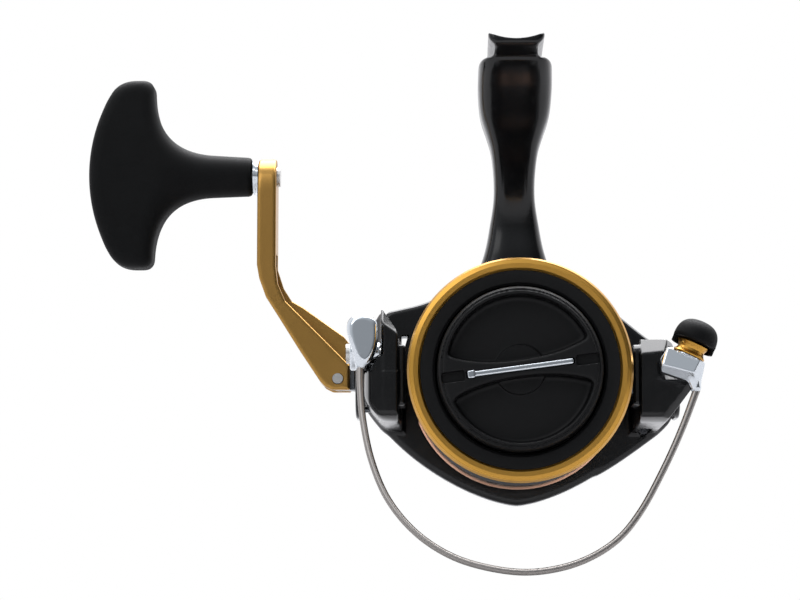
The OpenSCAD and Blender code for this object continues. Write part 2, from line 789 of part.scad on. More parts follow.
module roller_screw() {
    color([0.6, 0.6, 0.62]) placed() in_roller_frame() {
        translate([0, 0, -1.5]) cylinder(r = 1.2, h = 10.4);
    }
}

module roller_cap() {
    color([0.08, 0.08, 0.08]) placed() in_roller_frame() difference() {
        union() {
            translate([0, 0, 6.4]) rotate_extrude() polygon([[0, 0], [5.5, 0], [5.7, 0.4], [5.6, 1.6],
                [5.1, 3.2], [4.1, 4.6], [2.6, 5.5], [1, 5.9], [0, 5.9]]);
            // eave over the roller's inner side
            translate([0, 0, 4.8]) rotate_extrude(angle = 150) translate([4.75, 0]) square([0.95, 2]);
        }
        translate([0, 0, 2]) cylinder(r = 1.2, h = 7);
    }
}

module bail_arm() {
    color([0.12, 0.12, 0.13]) placed() difference() {
        union() {
            x_cyl(4.8, 43.1, 46.18, pivot_y, pivot_z);
            hull() {
                x_cyl(4.4, 43.3, 46, pivot_y, pivot_z, $fn = 32);
                in_roller_frame() translate([0.6, 1.6, 8]) cylinder(r = 2.2, h = 2.6, $fn = 32);
            }
        }
        x_cyl(1.5 + fit, 42, 47, pivot_y, pivot_z);
        in_roller_frame() cylinder(r = 5.7, h = 12.6);
        x_cyl(3.3, 46.18, 48, pivot_y, pivot_z);
    }
}

// ---------- spool ----------

module spool() {
    color([0.08, 0.08, 0.085]) placed() difference() {
        union() {
            // arbor, flange and skirt in one turning
            y_turned([[25.5, 3.5], [28, 3.5], [26, 5.5], [21.5, 7.5], [20.8, 9], [20.8, 20], [21.6, 22.4],
                [skirt_r - 1.9, 24.4], [skirt_r - 0.6, 26.8], [skirt_r - 0.6, 41.4], [skirt_r - 2, 41.4],
                [skirt_r - 2.2, 28], [19.4, 26.5], [7, 26.5], [7, 24], [18.6, 23], [18.6, 16.5], [15.6, 16.5],
                [15.2, 15.8], [15.2, 7.8], [22.2, 7.8], [22.4, 3.5]]);
            // hub on the sleeve
            y_turned([[3.05, 15.2], [16, 15.2], [16, 16.8], [7, 16.8], [7, 26.5], [3.05, 26.5]]);
        }
        // cut for the line clip
        translate([26.6, 31.6, -3.2]) cube([3, 4.8, 3.4]);
        y_cyl(1.02, 22, 28, 12, 0);
        for (i = [0:5]) {
            rotate([0, i * 60 + 30, 0]) y_cyl(3, 22, 28, 13.4, 0);
        }
    }
}

module spool_lip_ring() {
    color([0.72, 0.53, 0.22]) placed()
        y_turned([[25.6, 0.6], [26.2, 0.1], [27.4, 0], [28.5, 0.5], [lip_r, 1.6], [lip_r - 0.1, 2.6],
            [28.4, 3.3], [28, 3.48], [25.6, 3.48]]);
}

module spool_front_insert() {
    color([0.07, 0.07, 0.075]) placed()
        y_turned([[25.58, 0.7], [25.58, 3.48], [22.4, 3.48], [22.18, 7.78], [21.9, 7.78], [21.9, 1.2],
            [22.5, 0.9]]);
}

module spool_rear_ring() {
    color([0.75, 0.5, 0.4]) placed()
        y_turned([[skirt_r - 2, 41.42], [skirt_r - 0.6, 41.42], [ring_r, 41.7], [ring_r, 43],
            [skirt_r - 2, 43]]);
}

module line_clip() {
    color([0.8, 0.8, 0.82]) placed() difference() {
        union() {
            translate([26.8, 31.8, -2.9]) cube([1.7, 4.4, 2.8]);
            translate([28.42, 34, -1.5]) rotate([0, 90, 0]) cylinder(r = 2.1, h = 0.88);
        }
        y_cyl(25.9, 30, 40);
    }
}

module click_pawl() {
    color([0.6, 0.6, 0.62]) placed() {
        y_cyl(1, 23, 28.2, 12, 0);
        translate([8.4, 27.3, -0.7]) cube([3.8, 0.8, 1.4]);
    }
}

module spool_sleeve() {
    color([0.66, 0.66, 0.68]) placed() y_ring(3, shaft_r, 15.2, 27.15);
}

module click_gear() {
    color([0.8, 0.75, 0.6]) placed() difference() {
        union() {
            translate([0, 27.18, 0]) rotate([-90, 0, 0]) cylinder(r = 7.2, h = 1.2);
            for (i = [0:23]) {
                rotate([0, i * 15 + 7.5, 0]) translate([7, 27.18, -0.25]) cube([0.9, 1.2, 0.5]);
            }
        }
        y_cyl(2, 20, 30);
    }
}

module drag_washers() {
    color([0.5, 0.48, 0.45]) placed() for (i = [0:4]) {
        y_ring(i % 2 == 0 ? 14.8 : 14.2, i % 2 == 0 ? 2.6 : 3.4, 9.3 + i * 1.15, 10.4 + i * 1.15);
    }
}

module drag_retaining_ring() {
    color([0.7, 0.7, 0.72]) placed() difference() {
        y_ring(15.15, 14.2, 8.2, 9.1);
        translate([-1.5, 8, 12]) cube([3, 2, 6]);
    }
}

// ---------- drag knob ----------

ridge_tilt = -7.5;
knob_r = 21.2;

// scooped finger pocket on one side of the grip ridge
module knob_pocket() {
    xz_plate(-6, 1.6) difference() {
        circle(r = 18.9);
        translate([-30, -40]) square([60, 42.2]);
        translate([-30, -38]) polygon([[0, 36], [8, 49.5], [18, 43.6], [26, 40.9], [30, 40.4], [34, 40.9],
            [42, 43.6], [52, 49.5], [60, 36]]);
    }
}

module drag_knob() {
    color([0.07, 0.07, 0.075]) placed() difference() {
        y_turned([[0, -3.6], [18.6, -3.6], [20.4, -3.2], [knob_r, -2.2], [knob_r, 5.6], [20.4, 6.4],
            [19, 6.4], [19, 3.6], [6.4, 3.6], [6.4, 5], [0, 5]]);
        rotate([0, ridge_tilt, 0]) {
            knob_pocket();
            rotate([0, 180, 0]) knob_pocket();
            translate([-13.8, -5, -0.75]) cube([27.6, 2.2, 1.5]);
            for (s = [-1, 1]) {
                translate([s * 17.3 - 3, -5, -1.3]) cube([6, 3.4, 2.6]);
            }
        }
        y_cyl(4.3, 2.6, 6);
    }
}

module drag_knob_strip() {
    color([0.85, 0.85, 0.87]) placed() rotate([0, ridge_tilt, 0]) {
        translate([-13.6, -3.9, -0.7]) cube([27.2, 1.05, 1.4]);
        translate([-13.6, -4.3, -1]) cube([2, 0.45, 2]);
    }
}

module drag_knob_nut() {
    color([0.75, 0.6, 0.3]) placed() difference() {
        y_cyl(4.25, 2.9, 6.4);
        y_cyl(shaft_r + fit, 2, 8);
    }
}

module drag_spring() {
    color([0.7, 0.7, 0.72]) placed() for (i = [0:2]) {
        translate([0, 6.85 + i * 0.8, 0]) rotate([90, 0, 0])
            rotate_extrude() translate([3.6, 0]) circle(r = 0.36, $fn = 16);
    }
}

body_frame();
side_cover();
side_cover_screws();
rear_cover();
rear_cover_screw();
handle_port_cap();
drive_gear_bearings();
pinion_bearing();
bearing_retainer();
one_way_clutch();
drive_gear();
drive_shaft();
crank_spindle();
crank_hub();
oscillation_gear();
oscillation_axle();
slider_guide_rod();
pinion_gear();
clutch_sleeve();
rotor();
rotor_nut();
arm_cover_left();
arm_cover_right();
arm_cover_screws();
rotor_screw();
bail_spring();
bail_pivot_screws();
bail_wire_holder();
bail_arm();
bail_wire();
wire_end_block();
roller_cap();
roller_screw();
line_roller();
roller_bushing();
main_shaft();
oscillation_slider();
slider_screw();
spool_sleeve();
click_gear();
spool();
spool_lip_ring();
spool_front_insert();
spool_rear_ring();
line_clip();
click_pawl();
drag_washers();
drag_retaining_ring();
drag_knob();
drag_knob_strip();
drag_knob_nut();
drag_spring();
hinge_pin();
crank_arm();
knob_spindle();
knob_washer();
knob_bushing();
handle_knob();
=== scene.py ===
"""Spinning reel: detailed pieces, procedural materials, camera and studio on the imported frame.

Solids are drawn in reel millimetres: x to the right, y back from the spool lip along the spool axis,
z up from that axis. Each solid is a field, negative inside, that skin() turns into a smooth mesh.
"""
import json
from math import cos, pi, radians, sin

import bmesh
import bpy
import numpy as np
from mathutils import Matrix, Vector


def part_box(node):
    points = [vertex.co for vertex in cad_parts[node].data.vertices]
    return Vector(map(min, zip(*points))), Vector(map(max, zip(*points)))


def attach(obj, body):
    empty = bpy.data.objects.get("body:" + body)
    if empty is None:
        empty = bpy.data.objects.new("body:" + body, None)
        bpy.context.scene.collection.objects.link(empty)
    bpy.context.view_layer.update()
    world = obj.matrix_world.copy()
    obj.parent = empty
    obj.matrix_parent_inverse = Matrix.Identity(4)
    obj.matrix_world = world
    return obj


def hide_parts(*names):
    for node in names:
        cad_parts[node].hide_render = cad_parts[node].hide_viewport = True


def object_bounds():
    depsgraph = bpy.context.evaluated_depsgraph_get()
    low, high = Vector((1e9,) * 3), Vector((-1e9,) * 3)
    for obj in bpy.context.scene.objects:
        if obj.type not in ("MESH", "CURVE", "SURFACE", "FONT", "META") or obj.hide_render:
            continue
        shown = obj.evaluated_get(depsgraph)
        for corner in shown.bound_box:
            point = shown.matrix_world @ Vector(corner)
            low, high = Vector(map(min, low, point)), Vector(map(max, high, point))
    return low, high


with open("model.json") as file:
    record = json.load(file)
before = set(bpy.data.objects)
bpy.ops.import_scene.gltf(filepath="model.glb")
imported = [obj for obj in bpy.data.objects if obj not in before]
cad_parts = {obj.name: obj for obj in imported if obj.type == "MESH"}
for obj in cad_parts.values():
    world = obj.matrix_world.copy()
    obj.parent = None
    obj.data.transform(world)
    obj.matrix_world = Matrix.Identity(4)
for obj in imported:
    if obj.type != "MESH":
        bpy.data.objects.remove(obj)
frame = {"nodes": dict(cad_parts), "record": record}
cad_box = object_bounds()
bodies = frame["record"]["behaviour"]["bodies"]
body_of = {node: body for body, members in bodies.items() for node in members}

MM = 0.001
COARSE = 1.0

lip_low, lip_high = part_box("spool_lip_ring")
ORIGIN = Vector(((lip_low.x + lip_high.x) / 2, lip_low.y, (lip_low.z + lip_high.z) / 2))


def span(node):
    """Lowest and highest corner of a CAD node, in reel millimetres."""
    low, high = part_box(node)
    return np.array((low - ORIGIN) / MM), np.array((high - ORIGIN) / MM)


# ---------- camera and studio ----------

CAMERA_AT = ORIGIN + Vector((-15.2, -665.6, -61.7)) * MM
CAMERA_PITCH = radians(6.816)
CAMERA_YAW = radians(1.339)
LENS = 117.6
SURROUND = (1.1, 1.1, 1.13)
OVERHEAD = (10, 10, 10.2)
FRONT_DIM = (0.1, 0.105, 0.11)
FRONT_BRIGHT = (0.66, 0.69, 0.73)
WHITE = (1, 1, 1)
FLOOR_DROP = 0.035                       # room for the knob at the bottom of its turn, in metres


def add_camera():
    """Long lens, low in front of the spool, looking a little up along the spool axis."""
    camera = bpy.data.objects.new("camera", bpy.data.cameras.new("camera"))
    camera.data.lens = LENS
    camera.data.sensor_width = 36
    camera.data.clip_start = 0.01
    camera.location = CAMERA_AT
    camera.rotation_euler = (pi / 2 + CAMERA_PITCH, 0, CAMERA_YAW)
    bpy.context.scene.collection.objects.link(camera)
    bpy.context.scene.camera = camera
    bpy.context.scene.view_settings.view_transform = "Standard"


def mix_colours(tree, factor, first, second):
    """From first to second as factor runs from 0 to 1; each is a colour or the output of a node."""
    mix = tree.nodes.new("ShaderNodeMix")
    mix.data_type = "RGBA"
    tree.links.new(factor, mix.inputs["Factor"])
    for place, value in ((6, first), (7, second)):      # the node's two colour inputs
        if isinstance(value, tuple):
            mix.inputs[place].default_value = (*value, 1)
        else:
            tree.links.new(value, mix.inputs[place])
    return mix.outputs[2]


def add_world():
    """Even white room with a bright patch overhead, dimmer in front, most of all to the lower right."""
    world = bpy.data.worlds.new("studio")
    bpy.context.scene.world = world
    world.use_nodes = True
    tree = world.node_tree
    coordinates = tree.nodes.new("ShaderNodeTexCoord")

    def towards(direction):
        dot = tree.nodes.new("ShaderNodeVectorMath")
        dot.operation = "DOT_PRODUCT"
        dot.inputs[1].default_value = Vector(direction).normalized()
        tree.links.new(coordinates.outputs["Generated"], dot.inputs[0])
        return dot.outputs["Value"]

    def between(value, first, last):
        step = tree.nodes.new("ShaderNodeMapRange")
        step.interpolation_type = "SMOOTHSTEP"
        step.inputs["From Min"].default_value = first
        step.inputs["From Max"].default_value = last
        tree.links.new(value, step.inputs["Value"])
        return step.outputs["Result"]

    front = mix_colours(tree, between(towards((-0.6, 0, 0.8)), -0.3, 0.7), FRONT_DIM, FRONT_BRIGHT)
    behind = mix_colours(tree, between(towards((0.1, 0.2, 1)), 0.74, 0.9), SURROUND, OVERHEAD)
    around = mix_colours(tree, between(towards((0, -1, -0.12)), -0.15, 0.2), behind, front)
    path = tree.nodes.new("ShaderNodeLightPath")
    seen = mix_colours(tree, path.outputs["Is Camera Ray"], around, WHITE)
    tree.links.new(seen, tree.nodes["Background"].inputs["Color"])


def add_light(name, at, aim, size, watts):
    """Square area light turned from at towards aim."""
    light = bpy.data.lights.new(name, "AREA")
    light.energy = watts
    light.size = size
    holder = bpy.data.objects.new(name, light)
    holder.location = at
    holder.rotation_euler = (Vector(aim) - Vector(at)).to_track_quat("-Z", "Y").to_euler()
    bpy.context.scene.collection.objects.link(holder)


def add_floor():
    """Pale round floor under the reel."""
    mesh = bpy.data.meshes.new("floor")
    shape = bmesh.new()
    bmesh.ops.create_circle(shape, cap_ends=True, radius=3, segments=96)
    shape.to_mesh(mesh)
    shape.free()
    floor = bpy.data.objects.new("floor", mesh)
    floor.location.z = cad_box[0][2] - FLOOR_DROP
    bpy.context.scene.collection.objects.link(floor)
    floor.data.materials.append(material("floor_white", (0.3, 0.3, 0.305), roughness=0.7))


# ---------- materials ----------


def material(name, colour, metallic=0.0, roughness=0.4, specular=0.5, subsurface=0.0):
    """A plain Principled material; the finishes below add their own nodes to it."""
    made = bpy.data.materials.new(name)
    made.use_nodes = True
    shader = made.node_tree.nodes["Principled BSDF"]
    shader.inputs["Base Color"].default_value = (*colour, 1)
    shader.inputs["Metallic"].default_value = metallic
    shader.inputs["Roughness"].default_value = roughness
    shader.inputs["Specular IOR Level"].default_value = specular
    shader.inputs["Subsurface Weight"].default_value = subsurface
    return made


def add_noise(made, scale, detail=3.0):
    """Noise over the object's own coordinates; scale is cells per metre."""
    tree = made.node_tree
    coordinates = tree.nodes.new("ShaderNodeTexCoord")
    noise = tree.nodes.new("ShaderNodeTexNoise")
    noise.inputs["Scale"].default_value = scale
    noise.inputs["Detail"].default_value = detail
    tree.links.new(coordinates.outputs["Object"], noise.inputs["Vector"])
    return noise.outputs["Fac"]


def add_range(made, value, low, high):
    """Spreads the noise, which lies mostly between 0.3 and 0.7, over low to high."""
    spread = made.node_tree.nodes.new("ShaderNodeMapRange")
    spread.inputs["From Min"].default_value = 0.3
    spread.inputs["From Max"].default_value = 0.7
    spread.inputs["To Min"].default_value = low
    spread.inputs["To Max"].default_value = high
    made.node_tree.links.new(value, spread.inputs["Value"])
    return spread.outputs["Result"]


def vary_roughness(made, value, low, high):
    shader = made.node_tree.nodes["Principled BSDF"]
    made.node_tree.links.new(add_range(made, value, low, high), shader.inputs["Roughness"])


def vary_colour(made, value, first, second):
    tree = made.node_tree
    colour = mix_colours(tree, add_range(made, value, 0, 1), first, second)
    tree.links.new(colour, tree.nodes["Principled BSDF"].inputs["Base Color"])


def add_bump(made, value, depth):
    """Fine relief; depth is its height in metres."""
    tree = made.node_tree
    bump = tree.nodes.new("ShaderNodeBump")
    bump.inputs["Strength"].default_value = 1
    bump.inputs["Distance"].default_value = depth
    tree.links.new(value, bump.inputs["Height"])
    tree.links.new(bump.outputs["Normal"], tree.nodes["Principled BSDF"].inputs["Normal"])


def turned_lines(made, pitch):
    """Fine lathe lines about the spool axis: noise over the radius and the depth."""
    tree = made.node_tree
    coordinates = tree.nodes.new("ShaderNodeTexCoord")
    moved = tree.nodes.new("ShaderNodeVectorMath")
    moved.operation = "SUBTRACT"
    moved.inputs[1].default_value = ORIGIN
    tree.links.new(coordinates.outputs["Object"], moved.inputs[0])
    flat = tree.nodes.new("ShaderNodeVectorMath")
    flat.operation = "MULTIPLY"
    flat.inputs[1].default_value = (1, 0, 1)
    tree.links.new(moved.outputs["Vector"], flat.inputs[0])
    radius = tree.nodes.new("ShaderNodeVectorMath")
    radius.operation = "LENGTH"
    tree.links.new(flat.outputs["Vector"], radius.inputs[0])
    depth = tree.nodes.new("ShaderNodeSeparateXYZ")
    tree.links.new(moved.outputs["Vector"], depth.inputs["Vector"])
    both = tree.nodes.new("ShaderNodeCombineXYZ")
    tree.links.new(radius.outputs["Value"], both.inputs["X"])
    tree.links.new(depth.outputs["Y"], both.inputs["Y"])
    noise = tree.nodes.new("ShaderNodeTexNoise")
    noise.inputs["Scale"].default_value = 1 / pitch
    noise.inputs["Detail"].default_value = 2
    tree.links.new(both.outputs["Vector"], noise.inputs["Vector"])
    return noise.outputs["Fac"]


def black_paint():
    """Gloss black lacquer with a faint orange peel."""
    made = material("black_paint", (0.0016, 0.0017, 0.002), roughness=0.2, specular=0.4)
    vary_roughness(made, add_noise(made, 260), 0.17, 0.24)
    add_bump(made, add_noise(made, 900, 2), 0.000005)
    return made


def black_gloss():
    made = material("black_gloss", (0.0016, 0.0017, 0.002), roughness=0.1)
    vary_roughness(made, add_noise(made, 320), 0.08, 0.14)
    return made


def black_matte():
    """Moulded satin black with a fine grain."""
    made = material("black_matte", (0.002, 0.0021, 0.0024), roughness=0.48, specular=0.2)
    vary_roughness(made, add_noise(made, 1500), 0.44, 0.54)
    add_bump(made, add_noise(made, 5200, 2), 0.000008)
    return made


def soft_rubber():
    """Rubbery coating: dull, with a fine pebble grain."""
    made = material("soft_rubber", (0.0024, 0.0026, 0.0028), roughness=0.62, specular=0.12)
    vary_colour(made, add_noise(made, 140), (0.002, 0.0022, 0.0024), (0.003, 0.0032, 0.0035))
    vary_roughness(made, add_noise(made, 2400), 0.56, 0.7)
    add_bump(made, add_noise(made, 4200, 3), 0.00002)
    return made


def gold():
    """Gold anodised aluminium with fine turning lines."""
    made = material("gold", (0.54, 0.29, 0.056), metallic=1, roughness=0.3)
    lines = turned_lines(made, 0.00022)
    vary_roughness(made, lines, 0.26, 0.34)
    vary_colour(made, add_noise(made, 60), (0.52, 0.28, 0.052), (0.56, 0.3, 0.06))
    add_bump(made, lines, 0.0000015)
    return made


def gold_brushed():
    """Gold anodised arm: satin, with a faint fine blasted grain."""
    made = material("gold_brushed", (0.4, 0.225, 0.06), metallic=1, roughness=0.3)
    grain = add_noise(made, 5200, 2)
    vary_roughness(made, grain, 0.27, 0.35)
    vary_colour(made, add_noise(made, 60), (0.38, 0.215, 0.056), (0.42, 0.235, 0.064))
    add_bump(made, grain, 0.0000015)
    return made


def rose_gold():
    made = material("rose_gold", (0.66, 0.38, 0.26), metallic=1, roughness=0.24)
    vary_roughness(made, turned_lines(made, 0.0002), 0.2, 0.3)
    return made


def chrome():
    made = material("chrome", (0.64, 0.675, 0.71), metallic=1, roughness=0.07)
    vary_roughness(made, add_noise(made, 500), 0.05, 0.11)
    return made


def steel():
    made = material("steel", (0.55, 0.54, 0.52), metallic=1, roughness=0.3)
    vary_roughness(made, add_noise(made, 700), 0.25, 0.36)
    return made


def wire_steel():
    """Satin drawn wire, a little brown in its shading."""
    made = material("wire_steel", (0.3, 0.28, 0.265), metallic=1, roughness=0.36)
    vary_roughness(made, add_noise(made, 1500), 0.33, 0.4)
    return made


def dark_steel():
    made = material("dark_steel", (0.12, 0.125, 0.135), metallic=1, roughness=0.28)
    vary_roughness(made, add_noise(made, 900), 0.24, 0.34)
    return made


def brass():
    made = material("brass", (0.62, 0.43, 0.16), metallic=1, roughness=0.28)
    vary_roughness(made, turned_lines(made, 0.0002), 0.22, 0.34)
    return made


def gear_alloy():
    made = material("gear_alloy", (0.5, 0.49, 0.45), metallic=1, roughness=0.4)
    vary_roughness(made, add_noise(made, 800), 0.34, 0.48)
    add_bump(made, add_noise(made, 1800, 2), 0.00001)
    return made


def nylon():
    made = material("nylon", (0.66, 0.64, 0.58), roughness=0.45, subsurface=0.1)
    vary_colour(made, add_noise(made, 300), (0.63, 0.61, 0.55), (0.7, 0.68, 0.62))
    return made


def felt():
    made = material("felt", (0.2, 0.17, 0.13), roughness=0.9)
    vary_colour(made, add_noise(made, 2600), (0.15, 0.13, 0.1), (0.26, 0.22, 0.17))
    add_bump(made, add_noise(made, 3800, 4), 0.00006)
    return made


MAKERS = (black_paint, black_gloss, black_matte, soft_rubber, gold, rose_gold, chrome, steel, dark_steel,
          brass, gear_alloy, nylon, felt, gold_brushed, wire_steel)
FINISHES = {make.__name__: make() for make in MAKERS}


def finish_nodes():
    """Every CAD node takes the finish of its material slot."""
    for node in frame["nodes"].values():
        for place in node.material_slots:
            slot = place.material.name.split(".")[0]
            place.material = FINISHES.get(slot, FINISHES["steel"])


# ---------- fields ----------

DIAGONAL = 1.414                         # offset over distance for a plane at 45 degrees


def join(a, b, blend=0.0):
    """Union with a fillet about blend wide."""
    low = np.minimum(a, b)
    if not blend:
        return low
    near = np.maximum(blend - np.abs(a - b), 0) / blend
    return low - near * near * blend / 4


def meet(a, b, blend=0.0):
    """Intersection with a rounded edge."""
    return -join(-a, -b, blend)


def cut(a, b, blend=0.0):
    """a without b, with a rounded edge."""
    return -join(-a, b, blend)


def slab(u, low, high):
    """Between two planes across the u axis."""
    return np.maximum(low - u, u - high)


def rod(u, v, at, r):
    """Endless round rod across the u, v plane."""
    return np.hypot(u - at[0], v - at[1]) - r


def ball(p, at, r):
    x, y, z = [p[i] - at[i] for i in range(3)]
    return np.sqrt(x * x + y * y + z * z) - r


def bar(p, a, b, r1, r2):
    """Rod with round ends from a to b that tapers from r1 to r2."""
    start = np.array(a, float).reshape(3, *[1] * (p.ndim - 1))
    along = np.array(b, float).reshape(start.shape) - start
    t = np.clip(((p - start) * along).sum(0) / (along * along).sum(), 0, 1)
    return np.sqrt(((p - start - t * along) ** 2).sum(0)) - (r1 + (r2 - r1) * t)


def wedge(u, v, points, blend=0.0):
    """Convex outline, points anticlockwise in the u, v plane, as rounded half planes."""
    solid = None
    for (u1, v1), (u2, v2) in zip(points, points[1:] + points[:1]):
        length = np.hypot(u2 - u1, v2 - v1)
        side = ((u - u1) * (v2 - v1) - (v - v1) * (u2 - u1)) / length
        solid = side if solid is None else meet(solid, side, blend)
    return solid


def block(p, low, high, blend=0.0):
    """Box from low to high with rounded edges."""
    solid = slab(p[0], low[0], high[0])
    for axis in (1, 2):
        solid = meet(solid, slab(p[axis], low[axis], high[axis]), blend)
    return solid


def outline(u, v, points):
    """Signed distance to any closed outline in the u, v plane."""
    nearest = np.full(u.shape, 1e9)
    inside = np.zeros(u.shape, bool)
    for (u1, v1), (u2, v2) in zip(points, points[1:] + points[:1]):
        du, dv = u2 - u1, v2 - v1
        t = np.clip(((u - u1) * du + (v - v1) * dv) / (du * du + dv * dv), 0, 1)
        nearest = np.minimum(nearest, np.hypot(u - u1 - t * du, v - v1 - t * dv))
        crosses = (v1 > v) != (v2 > v)
        if dv:
            inside ^= crosses & (u < u1 + (v - v1) * du / dv)
    return np.where(inside, -nearest, nearest)


def tilted(p, at, lean):
    """Coordinates in a frame at a point whose z axis leans towards +x."""
    x, y, z = p[0] - at[0], p[1] - at[1], p[2] - at[2]
    return np.stack([x * cos(lean) - z * sin(lean), y, x * sin(lean) + z * cos(lean)])


# ---------- meshes ----------

NUDGES = 4                               # steps that take a mesh point onto the surface
NUDGE_LIMIT = 0.8                        # how far they may take it each way, in grid steps


def skin(name, field, low, high, step):
    """Mesh of the solid where field < 0: surface nets, with each point moved onto the true surface."""
    step = step * COARSE
    low = np.array(low, float) - 2 * step
    counts = np.ceil((np.array(high, float) + 2 * step - low) / step).astype(int) + 1
    axes = [low[i] + step * np.arange(counts[i]) for i in range(3)]
    values = field(np.stack(np.meshgrid(*axes, indexing="ij")))
    cells = tuple(counts - 1)
    total = np.zeros((*cells, 3))
    hits = np.zeros(cells)
    edges = []
    # every grid edge that the surface crosses gives a point to the four cells round it, and one face
    for axis in range(3):
        others = [i for i in range(3) if i != axis]
        first = np.take(values, range(counts[axis] - 1), axis)
        second = np.take(values, range(1, counts[axis]), axis)
        crossed = (first < 0) != (second < 0)
        at = np.argwhere(crossed)
        part = first[crossed] / (first[crossed] - second[crossed])
        points = at.astype(float)
        points[:, axis] += part
        around = []
        for da, db in ((0, 0), (1, 0), (1, 1), (0, 1)):
            cell = at.copy()
            cell[:, others[0]] -= da
            cell[:, others[1]] -= db
            np.add.at(total, tuple(cell.T), points)
            np.add.at(hits, tuple(cell.T), 1)
            around.append(cell)
        edges.append((np.stack(around, 1), first[crossed] < 0, axis))
    used = hits > 0
    number = np.full(cells, -1)
    number[used] = np.arange(used.sum())
    points = low + step * total[used] / hits[used][:, None]
    faces = []
    for around, leaving, axis in edges:
        quads = number[tuple(np.moveaxis(around, -1, 0))]
        turn = leaving if axis != 1 else ~leaving
        quads[~turn] = quads[~turn][:, ::-1]
        faces.append(quads)
    limit = step * NUDGE_LIMIT
    start = points.copy()
    for _ in range(NUDGES):
        value, slope = gradient(field, points)
        points = points - (value / np.maximum((slope ** 2).sum(1), 1e-4))[:, None] * slope
        points = np.clip(points, start - limit, start + limit)
    slope = gradient(field, points)[1]
    normals = slope / np.maximum(np.linalg.norm(slope, axis=1), 1e-9)[:, None]
    mesh = bpy.data.meshes.new(name)
    mesh.from_pydata(np.array(ORIGIN) + points * MM, [], np.concatenate(faces).tolist())
    mesh.validate()
    mesh.shade_smooth()
    mesh.normals_split_custom_set_from_vertices(normals.tolist())
    return mesh


def gradient(field, points):
    """The field and its slope at points, by central differences."""
    small = 0.03
    p = points.T
    slope = np.empty_like(points)
    for axis in range(3):
        shift = np.zeros((3, 1))
        shift[axis] = small
        slope[:, axis] = (field(p + shift) - field(p - shift)) / (2 * small)
    return field(p), slope


def add_piece(name, mesh, finish, node):
    """Puts a mesh in the scene on the body of the CAD node that it stands for."""
    piece = bpy.data.objects.new(name, mesh)
    bpy.context.scene.collection.objects.link(piece)
    mesh.materials.clear()
    mesh.materials.append(FINISHES[finish])
    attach(piece, body_of[node])
    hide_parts(node)


def add_solid(node, field, finish, step, margin=0.6):
    """Piece made from a field, in place of one CAD node, over that node's own box and a margin."""
    low, high = span(node)
    mesh = skin(node, field, low - margin, high + margin, step)
    add_piece(node + "_shaped", mesh, finish, node)


def smooth_curve(x, knots, values):
    """Smooth curve through the knots: cubic pieces with averaged slopes."""
    knots = np.array(knots, float)
    values = np.array(values, float)
    slopes = np.gradient(values, knots)
    x = np.clip(x, knots[0], knots[-1])
    i = np.clip(np.searchsorted(knots, x) - 1, 0, len(knots) - 2)
    width = knots[i + 1] - knots[i]
    t = (x - knots[i]) / width
    rise = values[i + 1] - values[i]
    return (values[i] + t * width * slopes[i] + t * t * (3 * rise - width * (2 * slopes[i] + slopes[i + 1]))
            + t ** 3 * (width * (slopes[i] + slopes[i + 1]) - 2 * rise))


# ---------- fixed body ----------

SADDLE_Z = float(-ORIGIN.z / MM)         # the foot's saddle touches the frame's origin
SADDLE_R = 18
CASE_LOW = np.array([-15, 60, -20])
CASE_HIGH = np.array([15, 121, 31])
WALL = 2.4
FRONT_WALL = 7
COVER_LOW = np.array([3, 66, -40])       # the side cover's zone runs out past the case's side and underside
COVER_HIGH = np.array([40, 112, 24])
SEAM = 0.14
CRANK_AXIS = (90, 6.5)
BOSS_R = 9
BEARING_R = 6.6
SCREW_HEAD_R = 2.2
COVER_SCREWS = [(71, -12.5), (71, 20.5), (107.5, 20.8), (97, -15.2)]
REAR_SCREW = (-9.9, 20)
STEM_TOP = 88.7


def case(p, inset=0.0):
    """Rounded gear case; the long edges are softer than in plan."""
    x, y, z = p
    side = meet(slab(y, CASE_LOW[1] + inset, CASE_HIGH[1] - inset),
                slab(z, CASE_LOW[2] + inset, CASE_HIGH[2] - inset), 16)
    return meet(side, slab(x, CASE_LOW[0] + inset, CASE_HIGH[0] - inset), 13)


def shell(p):
    """The whole case, hollow."""
    return cut(case(p), meet(case(p, WALL), CASE_LOW[1] + FRONT_WALL - p[1]))


def cover_zone(p, gap=0.0):
    """Where the side cover sits, grown by gap."""
    return block(p, COVER_LOW - gap, COVER_HIGH + gap)


def crank_boss(p, s):
    """Round boss about the crank's axis on the case's left (-1) or right (1) side."""
    x, y, z = p
    return meet(rod(y, z, CRANK_AXIS, BOSS_R), slab(x * s, 11, 19.5), 1)


def crank_bore(p, s):
    """Room for the crank's bearing inside that boss."""
    x, y, z = p
    return np.maximum(rod(y, z, CRANK_AXIS, BEARING_R), 12 - x * s)


def stem(p):
    """Stem from the case to the foot: its width, front and back change smoothly with the height."""
    x, y, z = p
    heights = [24, 33, 38, 47, 54.8, 62.2, 67.3, 71, 74.6, 81, 86.6, 93.3]
    half = smooth_curve(z, heights, [13.4, 10.6, 8.8, 6.9, 5.8, 6, 6.8, 8, 9.3, 10.2, 10.2, 9.8])
    front = smooth_curve(z, heights, [61, 61, 61, 61.5, 60, 56, 52, 49, 45.5, 39, 32, 28])
    back = smooth_curve(z, heights, [84, 81.5, 80, 78, 75, 71, 68.5, 67, 66.5, 67, 68, 68])
    middle = (front + back) / 2
    ring = (np.abs(x / half) ** 4 + np.abs((y - middle) / (back - middle)) ** 4) ** (1 / 4)
    return meet((ring - 1) * half, z - STEM_TOP, 1.6)


